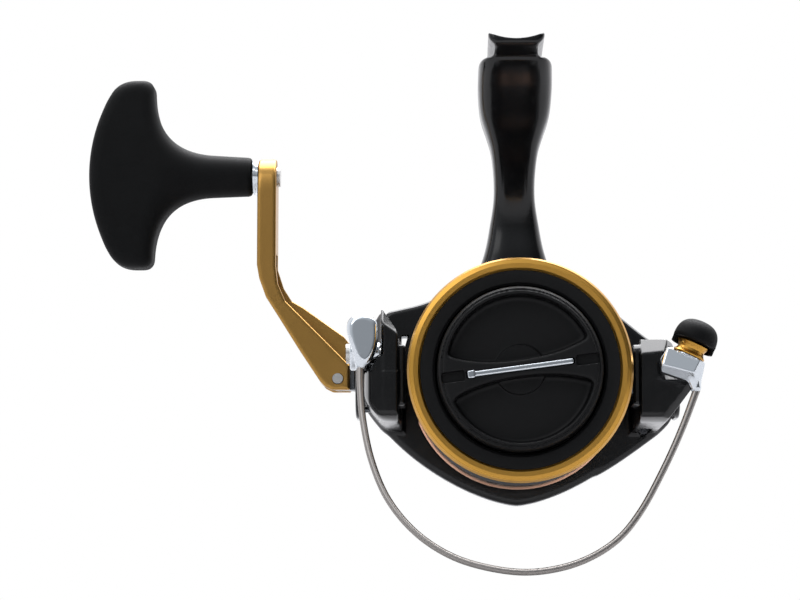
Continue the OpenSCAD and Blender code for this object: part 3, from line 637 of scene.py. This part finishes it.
def foot(p):
    """Thin plate with thinner ends and bevelled long edges."""
    x, y, z = p
    side = wedge(y, z, [(22.4, 90.3), (24, 89.3), (42, 87.1), (68, 87.1), (86, 89.3), (87.6, 90.3),
                        (87.6, 96), (22.4, 96)], 0.5)
    plan = meet(slab(x, -7.6, 7.6), slab(y, 22.2, 87.8), 2.5)
    bevel = np.minimum((np.abs(x) - (z - 83.9)) / DIAGONAL, np.abs(x) - 6)
    side = meet(side, bevel, 0.8)
    return meet(side, plan, 0.8)


def body_frame(p):
    """Open gear case with the left boss, the rotor's nose, the stem and the foot with its saddle."""
    x, y, z = p
    nose = meet(rod(x, z, (0, 0), 13.5), slab(y, 56, 63), 0.8)
    hull = cut(shell(p), cover_zone(p, SEAM))
    hull = meet(hull, y - COVER_HIGH[1], 0.3)
    solid = join(join(hull, crank_boss(p, -1), 2), nose, 1.5)
    solid = join(solid, meet(stem(p), 28.6 - z), 5)
    solid = join(solid, foot(p), 0.8)
    saddle = meet(rod(x, z, (0, SADDLE_Z + SADDLE_R), SADDLE_R), 80 - z)
    solid = cut(solid, saddle, 0.35)
    solid = cut(solid, crank_bore(p, -1))
    return cut(solid, np.maximum(rod(x, z, (0, 0), 5.6), slab(y, 50, 68)), 0.3)


def side_cover(p):
    """Right side of the case with its boss and the sunk seats of four screws."""
    x, y, z = p
    solid = join(meet(shell(p), cover_zone(p), 0.3), crank_boss(p, 1), 2)
    for screw in COVER_SCREWS:
        solid = cut(solid, np.maximum(rod(y, z, screw, SCREW_HEAD_R), 12.6 - x), 0.3)
    return cut(solid, crank_bore(p, 1))


def rear_cover(p):
    """Rear end of the case, with room inside for the oscillation slider at the back of its stroke."""
    x, y, z = p
    solid = meet(shell(p), COVER_HIGH[1] + SEAM - y, 0.3)
    slider_room = block(p, (-3.6, 109, -13.3), (7.9, 116.7, 9.2))
    solid = cut(solid, slider_room)
    return cut(solid, np.maximum(rod(x, z, REAR_SCREW, SCREW_HEAD_R), 117.2 - y), 0.3)


def add_body():
    add_solid("body_frame", body_frame, "black_paint", 0.45)
    add_solid("side_cover", side_cover, "black_paint", 0.5)
    add_solid("rear_cover", rear_cover, "black_paint", 0.5)


# ---------- rotor ----------

BASE_FRONT = 51.5
BASE_BACK = 58
DIAMOND = (43, 32.7)                     # half widths of the base across x and z
HUB_R = 24.3
PIVOT = (20, 6)                          # y and z of the bail's axis
ARM_TIP = 14
ARM_INNER = 31.6
ARM_BACK = 60
COVER_FACE = 42.1
# corners of the base in x and z; each arm stays inside its corner
LEFT_CORNER = [(-22, 23.8), (-35.5, 20.8), (-40, 14), (-43, 5), (-43, -1.5), (-40.8, -6.3),
               (-36.2, -11.8), (-24, -14), (-20, 5)]
RIGHT_CORNER = [(22, -23.8), (30.7, -19.8), (36.5, -15.6), (41, -12.3), (43.5, -8), (43.5, 4),
                (42, 9.4), (37.5, 12.6), (24, 19), (20, -5)]


def rotor_base(p):
    """Rounded diamond plate with two corners that carry the arms, and a drum for the hub."""
    x, y, z = p
    ring = (np.abs(x / DIAMOND[0]) ** 1.5 + np.abs(z / DIAMOND[1]) ** 1.5) ** (1 / 1.5)
    shape = join((ring - 1) * 27, wedge(x, z, LEFT_CORNER, 1), 2)
    shape = join(shape, wedge(x, z, RIGHT_CORNER, 2), 2)
    plate = meet(shape, slab(y, BASE_FRONT, BASE_BACK), 1.4)
    plate = cut(plate, rod(x, z, (0, 0), HUB_R - 0.9))
    wall = np.maximum(np.abs(rod(x, z, (0, 0), HUB_R)) - 1.1, slab(y, 41.6, 55))
    face = np.maximum(rod(x, z, (0, 0), HUB_R + 0.5), slab(y, 41.5, 45))
    hub = join(wall, cut(face, rod(x, z, (0, 0), 3.5)))
    return join(plate, hub, 1)


def pivot_pad(x, y, z):
    """Pad on an arm's inner side, round the end of the pivot screw."""
    return meet(meet(slab(x, 29.7, 33), slab(y, 15.4, 27), 0.8), slab(z, -8, 8), 0.8)


def arm_side(y, z, tip, knee):
    """Outline of an arm from its side; the underside goes down from the tip over a knee."""
    return wedge(y, z, [(BASE_BACK, -13), (BASE_BACK, 30), (ARM_TIP, 30), (ARM_TIP, tip), (18, knee),
                        (BASE_FRONT, -13)], 1)


def left_arm(p):
    """Thin blade with a sloping top, a thick heel, a lower shelf and a lip that guards the holder."""
    x, y, z = -p[0], p[1], p[2]
    top = (z - 11.2 - 1.5 * (x - ARM_INNER)) / 1.8
    bevel = (z - 10.4 - 0.7 * (x - ARM_INNER) - (y - ARM_TIP)) / 1.58
    side = arm_side(y, z, -10.4, -12)
    blade = wedge(x, y, [(ARM_INNER, ARM_TIP), (35.6, ARM_TIP), (36.2, 15), (36.2, ARM_BACK),
                         (ARM_INNER, ARM_BACK)], 0.4)
    heel = wedge(x, y, [(ARM_INNER, 30), (36.2, 33), (41.4, 40), (43, 46), (43, ARM_BACK),
                        (ARM_INNER, ARM_BACK)], 1.5)
    shelf = wedge(x, y, [(ARM_INNER, ARM_TIP), (39.2, ARM_TIP), (40.4, 18), (43, 46), (43, ARM_BACK),
                         (ARM_INNER, ARM_BACK)], 0.6)
    shelf = meet(shelf, z - 1)
    guard = wedge(x, z, [(35, -5), (39, -5), (38.8, 1.6), (36.9, 4.9), (35, 5.4)])
    guard = meet(guard, slab(y, 14.2, 16.4), 0.4)
    across = join(join(blade, heel, 2), join(shelf, guard), 0.4)
    across = join(across, pivot_pad(x, y, z), 0.4)
    solid = meet(meet(side, np.maximum(top, bevel)), across, 0.8)
    return meet(solid, wedge(p[0], z, LEFT_CORNER, 1), 1)


def right_arm(p):
    """Wider blade with a bevelled top, a slanting lower side and a shelf at its tip."""
    x, y, z = p
    bevel = (z - 5.4 - 0.1 * (x - 34) - (y - ARM_TIP)) / 1.42
    top = z - 9.4
    side = arm_side(y, z, -11, -12.2)
    blade = wedge(x, y, [(ARM_INNER, ARM_TIP), (37.8, ARM_TIP), (38.6, 16), (41.5, 28), (43, 42),
                         (43, ARM_BACK), (ARM_INNER, ARM_BACK)], 0.4)
    blade = meet(blade, wedge(x, z, RIGHT_CORNER, 2), 1)
    lower_side = 0.786 * x - 0.618 * z - 37.9
    shelf = wedge(x, z, [(ARM_INNER, -1.2), (ARM_INNER, -12), (39, -12), (45.6, -3), (45.6, -1.2)], 0.3)
    shelf = meet(shelf, slab(y, ARM_TIP, 32), 0.3)
    shelf = meet(shelf, (lower_side + ARM_TIP - y + 1.8) / DIAGONAL)
    shelf = join(shelf, pivot_pad(x, y, z), 0.4)
    return meet(meet(meet(side, top), bevel), meet(join(blade, shelf, 0.4), lower_side, 0.3), 0.6)


def rotor(p):
    """Base and both arms, less a sliver by the left arm, the pivots' bores and the covers' seats."""
    x, y, z = p
    solid = join(rotor_base(p), left_arm(p), 1.2)
    solid = join(solid, right_arm(p), 1.2)
    sliver = wedge(x, z, [(-31.6, 14), (-31.5, 8), (-29.8, 13.9)], 0.3)
    solid = cut(solid, sliver)
    for s in (-1, 1):
        solid = cut(solid, np.maximum(rod(y, z, PIVOT, 1.6), 29 - x * s))
        seat = wedge(y, z, [(34, -10), (53, -10), (53, 10), (34, 10)], 5)
        solid = cut(solid, np.maximum(seat, COVER_FACE - x * s), 0.3)
    return cut(solid, np.maximum(rod(x, z, (34.7, -12), 1.45), slab(y, 40, BASE_FRONT)), 0.3)


def arm_cover(s):
    """Dished cover on the outer side of the left (-1) or right (1) arm."""
    def field(p):
        x, y, z = p[0] * s, p[1], p[2]
        plate = meet(wedge(y, z, [(34.2, -9.8), (52.8, -9.8), (52.8, 9.8), (34.2, 9.8)], 6),
                     slab(x, COVER_FACE + 0.1, COVER_FACE + 1.5), 0.8)
        dish = ball((x, y, z), (COVER_FACE + 39.5, 43.5, 0), 38.5)
        plate = cut(plate, dish, 0.6)
        return cut(plate, np.maximum(rod(y, z, (49.5, -6.5), 1.8), 43 - x), 0.2)
    return field


def add_rotor():
    add_solid("rotor", rotor, "black_paint", 0.5, margin=2.6)
    add_solid("arm_cover_left", arm_cover(-1), "black_gloss", 0.3)
    add_solid("arm_cover_right", arm_cover(1), "black_gloss", 0.3)


# ---------- bail ----------

LEAN = radians(23.5)
ROLLER_AT = (42.4, 7, 1.6)
WIRE_R = 0.85
WIRE_SIDES = 20
# the wire's middle line from the left end, round under the spool, to the end block
WIRE = [(-41.4, 12, 1.9), (-41.3, 10.4, -4), (-40.4, 7.6, -13), (-38, 3.6, -23.5), (-33.6, -0.5, -33.5),
        (-26.4, -4, -42), (-17, -6.2, -48), (-6, -7.4, -51.1), (4, -7.4, -51.6), (14.5, -6.2, -49.2),
        (23.6, -4, -44), (30.2, -1, -36.4), (36.4, 2, -25.5), (41.4, 4.6, -15), (45.4, 6.6, -5)]


def spline(points, steps):
    """Smooth curve through all the points."""
    points = [np.array(q, float) for q in points]
    path = []
    for i in range(len(points) - 1):
        a, b, c, d = points[max(i - 1, 0)], points[i], points[i + 1], points[min(i + 2, len(points) - 1)]
        for k in range(steps):
            t = k / steps
            path.append(0.5 * (2 * b + (c - a) * t + (2 * a - 5 * b + 4 * c - d) * t * t
                               + (3 * b - a - 3 * c + d) * t ** 3))
    return path + [points[-1]]


def ring_points(at, r, u, v):
    """Points round a circle at at, across the plane of u and v, in the frame's metres."""
    turns = [2 * pi * k / WIRE_SIDES for k in range(WIRE_SIDES)]
    return [ORIGIN + Vector(at + r * (cos(turn) * u + sin(turn) * v)) * MM for turn in turns]


def tube(name, path, radii):
    """Closed tube along a path that lies close to the XZ plane."""
    shape = bmesh.new()
    rings = []
    for i, (at, r) in enumerate(zip(path, radii)):
        along = path[min(i + 1, len(path) - 1)] - path[max(i - 1, 0)]
        along = along / np.linalg.norm(along)
        u = np.cross(along, (0, 1, 0))
        u = u / np.linalg.norm(u)
        v = np.cross(along, u)
        rings.append([shape.verts.new(point) for point in ring_points(at, r, u, v)])
    for first, second in zip(rings, rings[1:]):
        for k in range(WIRE_SIDES):
            after = (k + 1) % WIRE_SIDES
            shape.faces.new((first[k], first[after], second[after], second[k]))
    shape.faces.new(rings[0][::-1])
    shape.faces.new(rings[-1])
    bmesh.ops.recalc_face_normals(shape, faces=shape.faces)
    mesh = bpy.data.meshes.new(name)
    shape.to_mesh(mesh)
    shape.free()
    mesh.shade_smooth()
    return mesh


def add_bail_wire():
    """Bent wire that grows a little thicker towards both ends."""
    path = spline(WIRE, 8)
    i = np.arange(len(path))
    radii = WIRE_R * (1 + 0.18 * np.exp(-i / 10) + 0.15 * np.exp(-i[::-1] / 10))
    add_piece("bail_wire_drawn", tube("bail_wire", path, radii), "wire_steel", "bail_wire")


HOLDER_OUTLINE = [(-42.4, 1.7), (-39.6, 1.4), (-36.8, 5.5), (-36.1, 11), (-36.9, 15), (-43.6, 15.9),
                  (-45.6, 13.4), (-45.8, 10.3), (-44.6, 7)]
HOLDER_OUTER = -44.38


def holder(p):
    """Shield-shaped boss that carries the wire's left end, with a flat front inside a wide bevel."""
    x, y, z = p
    shape = wedge(x, z, HOLDER_OUTLINE, 2.6)
    front = 10.6 - y + 0.05 * (z - 10)
    bevel = (shape + front + 0.9 - 0.05 * (x + 41)) / DIAGONAL
    head = meet(meet(shape, front), bevel, 0.35)
    head = meet(head, y - 15.5 + np.maximum(6 - z, 0) * 0.5, 2)
    head = join(head, ball(p, (-40.9, 15.6, 11.2), 3.7), 0.8)
    neck = bar(p, (-41.3, 12.8, 4.4), (-41.4, 12.2, 1.7), 1.9, 1.25)
    solid = join(head, neck, 0.8)
    boss = meet(rod(y, z, PIVOT, 4.4), slab(x, HOLDER_OUTER, -39), 0.6)
    axle = np.maximum(rod(y, z, PIVOT, 3), slab(x, -40, -36.5))
    solid = join(join(solid, boss, 1.2), axle)
    solid = cut(solid, np.maximum(rod(y, z, PIVOT, 1.62), x + 36))
    return cut(solid, np.maximum(rod(y, z, PIVOT, 3.05), x - HOLDER_OUTER), 0.2)


# each facet's outward direction and its distance from the roller's foot, in the roller's leaning frame
FACETS = [((-0.98, 0, 0.19), 6.1), ((-0.87, 0, -0.5), 6.05), ((0.07, 0, -1), 3.65), ((0.98, 0, 0.2), 5.1),
          ((0, 0, 1), 2.45), ((0, 1, 0), 3.6), ((-0.15, -0.98, 0.09), 2.95), ((-0.7, -0.71, 0), 5.4),
          ((0, -0.7, -0.71), 3.35), ((0.75, -0.66, 0), 4.55)]
CAP_R = 5.7
CAP_TOP = 12.2


def end_block(p):
    """Faceted block under the line roller that carries the wire's right end."""
    x, y, z = tilted(p, ROLLER_AT, LEAN)
    solid = None
    for normal, distance in FACETS:
        side = np.tensordot(np.array(normal) / np.linalg.norm(normal), np.stack([x, y, z]), 1) - distance
        solid = side if solid is None else meet(solid, side, 0.25)
    ring = np.maximum(np.hypot(x, y) - 3.9, slab(z, 2.2, 2.6))
    tail = bar(p, (45.2, 6.6, -4.2), (44, 6.8, 0), 1.45, 2.2)
    return join(join(solid, ring), tail, 0.5)


def roller_cap(p):
    """Dull cap over the line roller with a flat top, round shoulders and an eave on the inner side."""
    x, y, z = tilted(p, ROLLER_AT, LEAN)
    reach = np.hypot(x, y)
    dome = meet(reach - CAP_R, z - CAP_TOP, 5.2)
    dome = meet(dome, 6.4 - z, 1.2)
    eave = np.maximum(np.abs(reach - 5.2) - 0.45, slab(z, 4.9, 7))
    eave = np.maximum(eave, -(y * 0.9 + x * 0.1))
    return cut(join(dome, eave, 0.4), np.maximum(reach - 1.25, z - 9))


def bail_arm(p):
    """Disc on the right pivot with a short web that reaches the roller's cap."""
    x, y, z = p
    disc = meet(rod(y, z, PIVOT, 4.7), slab(x, 43.15, 46.15), 0.8)
    web = bar(p, (44.6, 18, 6.3), (46.3, 9, 9.6), 2.1, 1.7)
    solid = join(disc, meet(web, slab(x, 43.3, 48)), 1.5)
    u, v, w = tilted(p, ROLLER_AT, LEAN)
    room = np.maximum(np.hypot(u, v) - (CAP_R + 0.02), slab(w, -2, CAP_TOP + 0.4))
    return cut(cut(solid, room), rod(y, z, PIVOT, 1.6))


def add_bail():
    add_bail_wire()
    add_solid("bail_wire_holder", holder, "chrome", 0.22, margin=0.8)
    add_solid("wire_end_block", end_block, "chrome", 0.2, margin=0.8)
    add_solid("roller_cap", roller_cap, "soft_rubber", 0.22)
    add_solid("bail_arm", bail_arm, "black_paint", 0.3)


# ---------- drag knob ----------

RIDGE_TILT = radians(7.5)
KNOB_FACE = -3.6
KNOB_R = 21.2
SLOT_HALF = 13.8


def turned(p, tilt):
    """Coordinates in a frame turned about the spool axis."""
    x, y, z = p
    return x * cos(tilt) + z * sin(tilt), y, z * cos(tilt) - x * sin(tilt)


def drag_knob(p):
    """Disc with a rolled rim and two pockets that leave a grip ridge, slotted for its bright strip."""
    x, y, z = turned(p, RIDGE_TILT)
    reach = np.hypot(x, z)
    disc = meet(slab(y, KNOB_FACE, 6.4), reach - KNOB_R, 2.4)
    disc = cut(disc, np.maximum(reach - 19, 3.8 - y))
    disc = cut(disc, np.maximum(np.abs(reach - 20.1) - 0.22, y + 3.1), 0.15)
    for s in (-1, 1):
        waist = 2.2 + 0.0062 * x * x * (1 + np.abs(x) / 26)
        pocket = meet(meet(reach - 18.9, waist - z * s, 1.6), slab(y, -9, 1.5), 1.4)
        disc = cut(disc, pocket, 1.1)
    disc = join(disc, np.maximum(reach - 6.4, slab(y, 0.8, 5)), 0.5)
    disc = cut(disc, np.maximum(np.maximum(np.abs(x) - SLOT_HALF, np.abs(z) - 0.76), y + 2.8))
    for s in (-1, 1):
        slot = meet(slab(x * s, 14.4, 20.2), np.abs(z) - 1.3, 0.4)
        disc = cut(disc, np.maximum(slot, y + 1.7), 0.2)
    return cut(disc, np.maximum(reach - 4.3, 2.7 - y))


def knob_strip(p):
    """Bright strip along the ridge with a raised left end."""
    q = turned(p, RIDGE_TILT)
    end = SLOT_HALF - 0.2
    strip = block(q, (-end, -3.95, -0.72), (end, -2.85, 0.72), 0.5)
    raised = block(q, (-end, -4.3, -1), (-11.7, -3.4, 1), 0.4)
    return join(strip, raised, 0.2)


def add_drag():
    add_solid("drag_knob", drag_knob, "black_matte", 0.3)
    add_solid("drag_knob_strip", knob_strip, "chrome", 0.14)


# ---------- crank ----------

ARM_MIDDLE = CRANK_AXIS[0]
ARM_HALF = 6
ARM_TOP = 71
HINGE = (-50.7, 5.2)                     # x and z of the hinge pin
KNOB_AXIS = (ARM_MIDDLE, 65)             # y and z of the knob's spindle
KNOB_MIDDLE = 65.6
KNOB_OUTER_R = 48.6
# outlines in x and z: the arm's outer side, the inner sides of its two cheeks, the channel between them
ARM_OUTER = [(-68.8, ARM_TOP), (-73.4, ARM_TOP), (-74.3, 70.1), (-74.3, 38.5), (-73.6, 34.5), (-71.6, 29),
             (-68.4, 24), (-62, 13.8), (-55.9, 4.6), (-54.4, 3), (-52.4, 2), (-47.4, 2)]
NEAR_CHEEK = [(-47.2, 2.4), (-47.2, 9), (-66, 27.9), (-68.2, 33), (-68.8, 38)]
FAR_CHEEK = [(-47.2, 2.4), (-47.2, 15.5), (-49.3, 18.2), (-61.3, 26.8), (-64.6, 28.7), (-67, 32.5),
             (-68.8, 38)]
CHANNEL = [(-44, -2), (-53.4, -2), (-55.6, 8.5), (-58.6, 13), (-64.2, 22), (-69.6, 31), (-71, 36),
           (-71.3, 42), (-68, 42), (-60, 36), (-44, 24)]


def crank_arm(p):
    """Bent bar with a round end, forked below round the hub, with the bores of hinge and spindle."""
    x, y, z = p
    near = meet(outline(x, z, ARM_OUTER + NEAR_CHEEK), slab(y, ARM_MIDDLE - ARM_HALF, ARM_MIDDLE), 0.9)
    far = meet(outline(x, z, ARM_OUTER + FAR_CHEEK), slab(y, ARM_MIDDLE, ARM_MIDDLE + ARM_HALF), 0.9)
    middle = meet(outline(x, z, ARM_OUTER + NEAR_CHEEK), slab(y, ARM_MIDDLE - 4, ARM_MIDDLE + 4), 0.9)
    solid = join(join(near, far), middle)
    end = meet(slab(y, ARM_MIDDLE - ARM_HALF, ARM_MIDDLE + ARM_HALF), z - ARM_TOP, 11)
    solid = meet(solid, end, 0.9)
    channel = np.maximum(outline(x, z, CHANNEL), slab(y, ARM_MIDDLE - 3.1, ARM_MIDDLE + 3.1))
    solid = cut(solid, channel, 0.3)
    solid = cut(solid, rod(x, z, HINGE, 1.55), 0.25)
    return cut(solid, np.maximum(rod(y, z, KNOB_AXIS, 2), slab(x, -76, -66)))


def crank_knob(p):
    """T-shaped grip: a round neck that flares into a crosswise bar with a bowed outer side."""
    x, y, z = p
    u, v = y - KNOB_AXIS[0], z - KNOB_MIDDLE
    outer = np.hypot(x + 123.7 - KNOB_OUTER_R, v) - KNOB_OUTER_R
    tee = meet(np.abs(v) - 27.7, x + 104.3 + 0.0009 * v * v, 3.2)
    tee = meet(tee, outer, 4)
    rise = 0.6 * (-76 - x) / 47
    radius = 5.75 + 0.05 * np.clip(-78 - x, 0, 40)
    neck = meet(np.hypot(u, z - KNOB_AXIS[1] - rise) - radius, slab(x, -104, -76), 1.6)
    solid = meet(join(tee, neck, 17), np.abs(u) - 7.2 + 0.0011 * v * v, 4)
    return cut(solid, np.maximum(rod(y, z, KNOB_AXIS, 2.7), -112 - x))


def add_crank():
    add_solid("crank_arm", crank_arm, "gold_brushed", 0.3)
    add_solid("handle_knob", crank_knob, "soft_rubber", 0.55)


# ---------- the model ----------

add_camera()
add_world()
add_floor()
add_light("key", at=(-0.35, -0.5, 0.35), aim=(0, 0, -0.08), size=0.45, watts=1)
finish_nodes()
add_body()
add_rotor()
add_bail()
add_drag()
add_crank()
